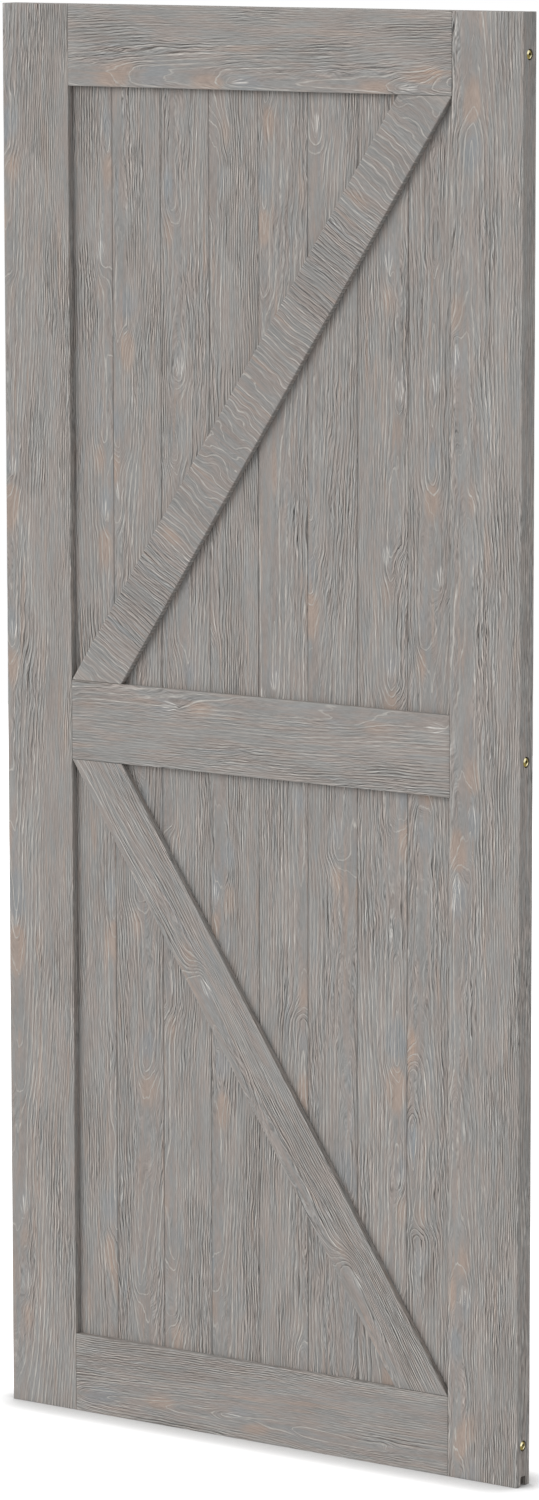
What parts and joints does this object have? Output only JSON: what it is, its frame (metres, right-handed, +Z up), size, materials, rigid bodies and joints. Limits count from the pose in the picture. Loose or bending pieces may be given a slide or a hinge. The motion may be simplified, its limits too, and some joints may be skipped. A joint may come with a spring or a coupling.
{
  "type": "sliding barn door",
  "caption": "Tall grey-washed wooden barn door slab: stiles and rails around tongued planks, with K-shaped diagonal braces on the front and a floor-guide groove below.",
  "frame": {"origin": "middle of the top edge, at half the thickness, where the door hangs from its track hardware", "axes": "+X to the right seen from the front, +Y from front to back, +Z up; the braces are on the -Y side"},
  "size_m": [0.914, 0.035, 2.134],
  "materials": {
    "frame_timber": "grey-washed, wire-brushed spruce",
    "planks": "grey-washed, wire-brushed spruce",
    "braces": "grey-washed, wire-brushed spruce",
    "bolts": "yellow zinc or brass plated"
  },
  "bodies": {
    "root": {"left_stile": "frame_timber", "right_stile": "frame_timber", "top_rail": "frame_timber", "middle_rail": "frame_timber", "bottom_rail": "frame_timber", "upper_plank_1": "planks", "upper_plank_2": "planks", "upper_plank_3": "planks", "upper_plank_4": "planks", "upper_plank_5": "planks", "upper_plank_6": "planks", "upper_plank_7": "planks", "upper_plank_8": "planks", "lower_plank_1": "planks", "lower_plank_2": "planks", "lower_plank_3": "planks", "lower_plank_4": "planks", "lower_plank_5": "planks", "lower_plank_6": "planks", "lower_plank_7": "planks", "lower_plank_8": "planks", "upper_brace": "braces", "lower_brace": "braces", "left_top_bolt": "bolts", "left_middle_bolt": "bolts", "left_bottom_bolt": "bolts", "right_top_bolt": "bolts", "right_middle_bolt": "bolts", "right_bottom_bolt": "bolts"}
  },
  "joints": []
}
